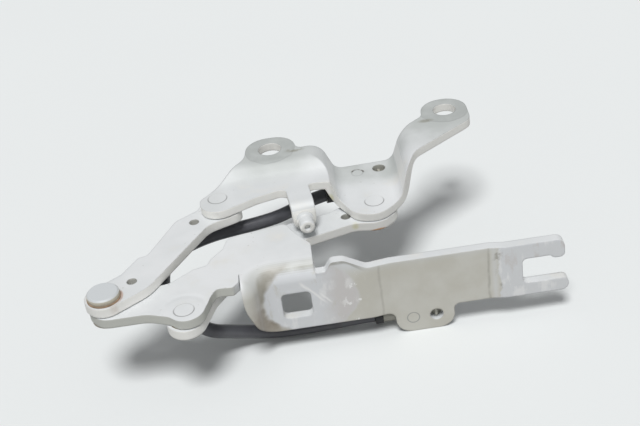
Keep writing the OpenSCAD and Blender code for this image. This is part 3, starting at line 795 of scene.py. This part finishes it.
def paint_head():
    """The closed head of the main pivot: painted on top, grimy where it meets its washer."""
    g = Graph("paint_head")
    _, rough, fine = silver_paint(g)
    colour = g.mix(g.ramp(g.z, *HEAD_Z), HEAD_RIM, HEAD)
    seam = g.ramp(g.shaken(g.z, SEAM_WAVE), *SEAM_Z)
    colour = g.stain(colour, g.times(seam, g.patches(*SEAM_PATCHES)), GRIME, share=0.8)
    return g.finish(colour, rough, g.relief((fine, FINE_DEPTH)), edge=HEAD_ROUND)


# Plain finishes: the levels of their patches, their fine texture and their edges, in mm
PLAIN_LEVELS = (0.35, 0.65)
PLAIN_GRAIN = (900, 3)
PLAIN_DEPTH = 0.03
PLAIN_ROUND = 0.4


def plain(name, colours, rough, metal, scale=80):
    """A worn finish in two colours, with patches of about 1/scale metres and a fine texture."""
    g = Graph(name)
    g.shader.inputs["Metallic"].default_value = metal
    tint = g.mix(g.patches(scale, *PLAIN_LEVELS), *colours)
    return g.finish(tint, rough, g.relief((g.noise(*PLAIN_GRAIN), PLAIN_DEPTH)), edge=PLAIN_ROUND)


def make_floor():
    """A level pale floor at the part's lowest point, greyer in the light that it throws onto the part."""
    low = cad_box[0][2]
    half = FLOOR_HALF_M
    mesh = bpy.data.meshes.new("floor")
    corners = [(-half, -half, low), (half, -half, low), (half, half, low), (-half, half, low)]
    mesh.from_pydata(corners, [], [(0, 1, 2, 3)])
    floor = bpy.data.objects.new("floor", mesh)
    bpy.context.scene.collection.objects.link(floor)
    g = Graph("floor_paper")
    rays = g.add("ShaderNodeLightPath").outputs
    seen = g.math("ADD", rays["Is Camera Ray"], rays["Is Glossy Ray"])
    seen = g.math("MAXIMUM", seen, rays["Is Transmission Ray"])
    paper = g.mix(g.noise(*PAPER_NOISE), *PAPER)
    g.finish(g.mix(g.math("MINIMUM", seen, 1.0), FLOOR_BOUNCE, paper), FLOOR_ROUGH)
    floor.data.materials.append(g.material)


def make_light():
    """A soft key light and an even sky."""
    sun = bpy.data.lights.new("key", "SUN")
    sun.energy = KEY_STRENGTH
    sun.angle = KEY_SOFTNESS
    key = bpy.data.objects.new("key", sun)
    key.rotation_euler = Vector(KEY_DIRECTION).to_track_quat("Z", "Y").to_euler()
    bpy.context.scene.collection.objects.link(key)
    world = bpy.data.worlds.new("sky")
    world.use_nodes = True
    back = world.node_tree.nodes["Background"]
    back.inputs["Color"].default_value = SKY_COLOUR
    back.inputs["Strength"].default_value = SKY_STRENGTH
    bpy.context.scene.world = world


def dress(material, *names):
    """Gives CAD nodes a material."""
    for name in names:
        obj = nodes[name]
        obj.data.materials.clear()
        obj.data.materials.append(material)


bpy.context.scene.view_settings.view_transform = "Standard"
place_camera()
lead_upper, lead_lower = make_lead()
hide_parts("earth_lead_upper")
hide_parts("earth_lead_lower")
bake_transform(lead_lower)
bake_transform(lead_upper)
make_floor()
make_light()

dress(paint_body(), "body_bracket", "control_body_rivet", "body_lug_rivet")
dress(
    paint_bonnet(),
    "bonnet_bracket", "strut_stud", "main_bonnet_rivet", "control_bonnet_rivet", "bonnet_lug_rivet",
)
dress(paint_main(), "main_link")
dress(paint_control(), "control_link")
dress(paint_head(), "main_body_rivet")
dress(plain("washer_rust", WASHER_RUST, rough=0.8, metal=0.1, scale=300), "main_body_washer")
dress(
    plain("bush_bronze", BRONZE, rough=0.5, metal=0.6),
    "main_body_bush", "main_bonnet_bush", "control_body_bush", "control_bonnet_bush",
)
dress(plain("lug_tin", TIN, rough=0.45, metal=0.3), "bonnet_lug", "body_lug")
dress(plain("strand_copper", COPPER, rough=0.4, metal=0.8), "bonnet_lug_strands", "body_lug_strands")
dress(plain("sleeve_black", SLEEVE, rough=0.5, metal=0.0), "bonnet_lug_sleeve", "body_lug_sleeve")
jacket = plain("lead_jacket", JACKET, rough=0.3, metal=0.0, scale=60)
lead_upper.data.materials.append(jacket)
lead_lower.data.materials.append(jacket)
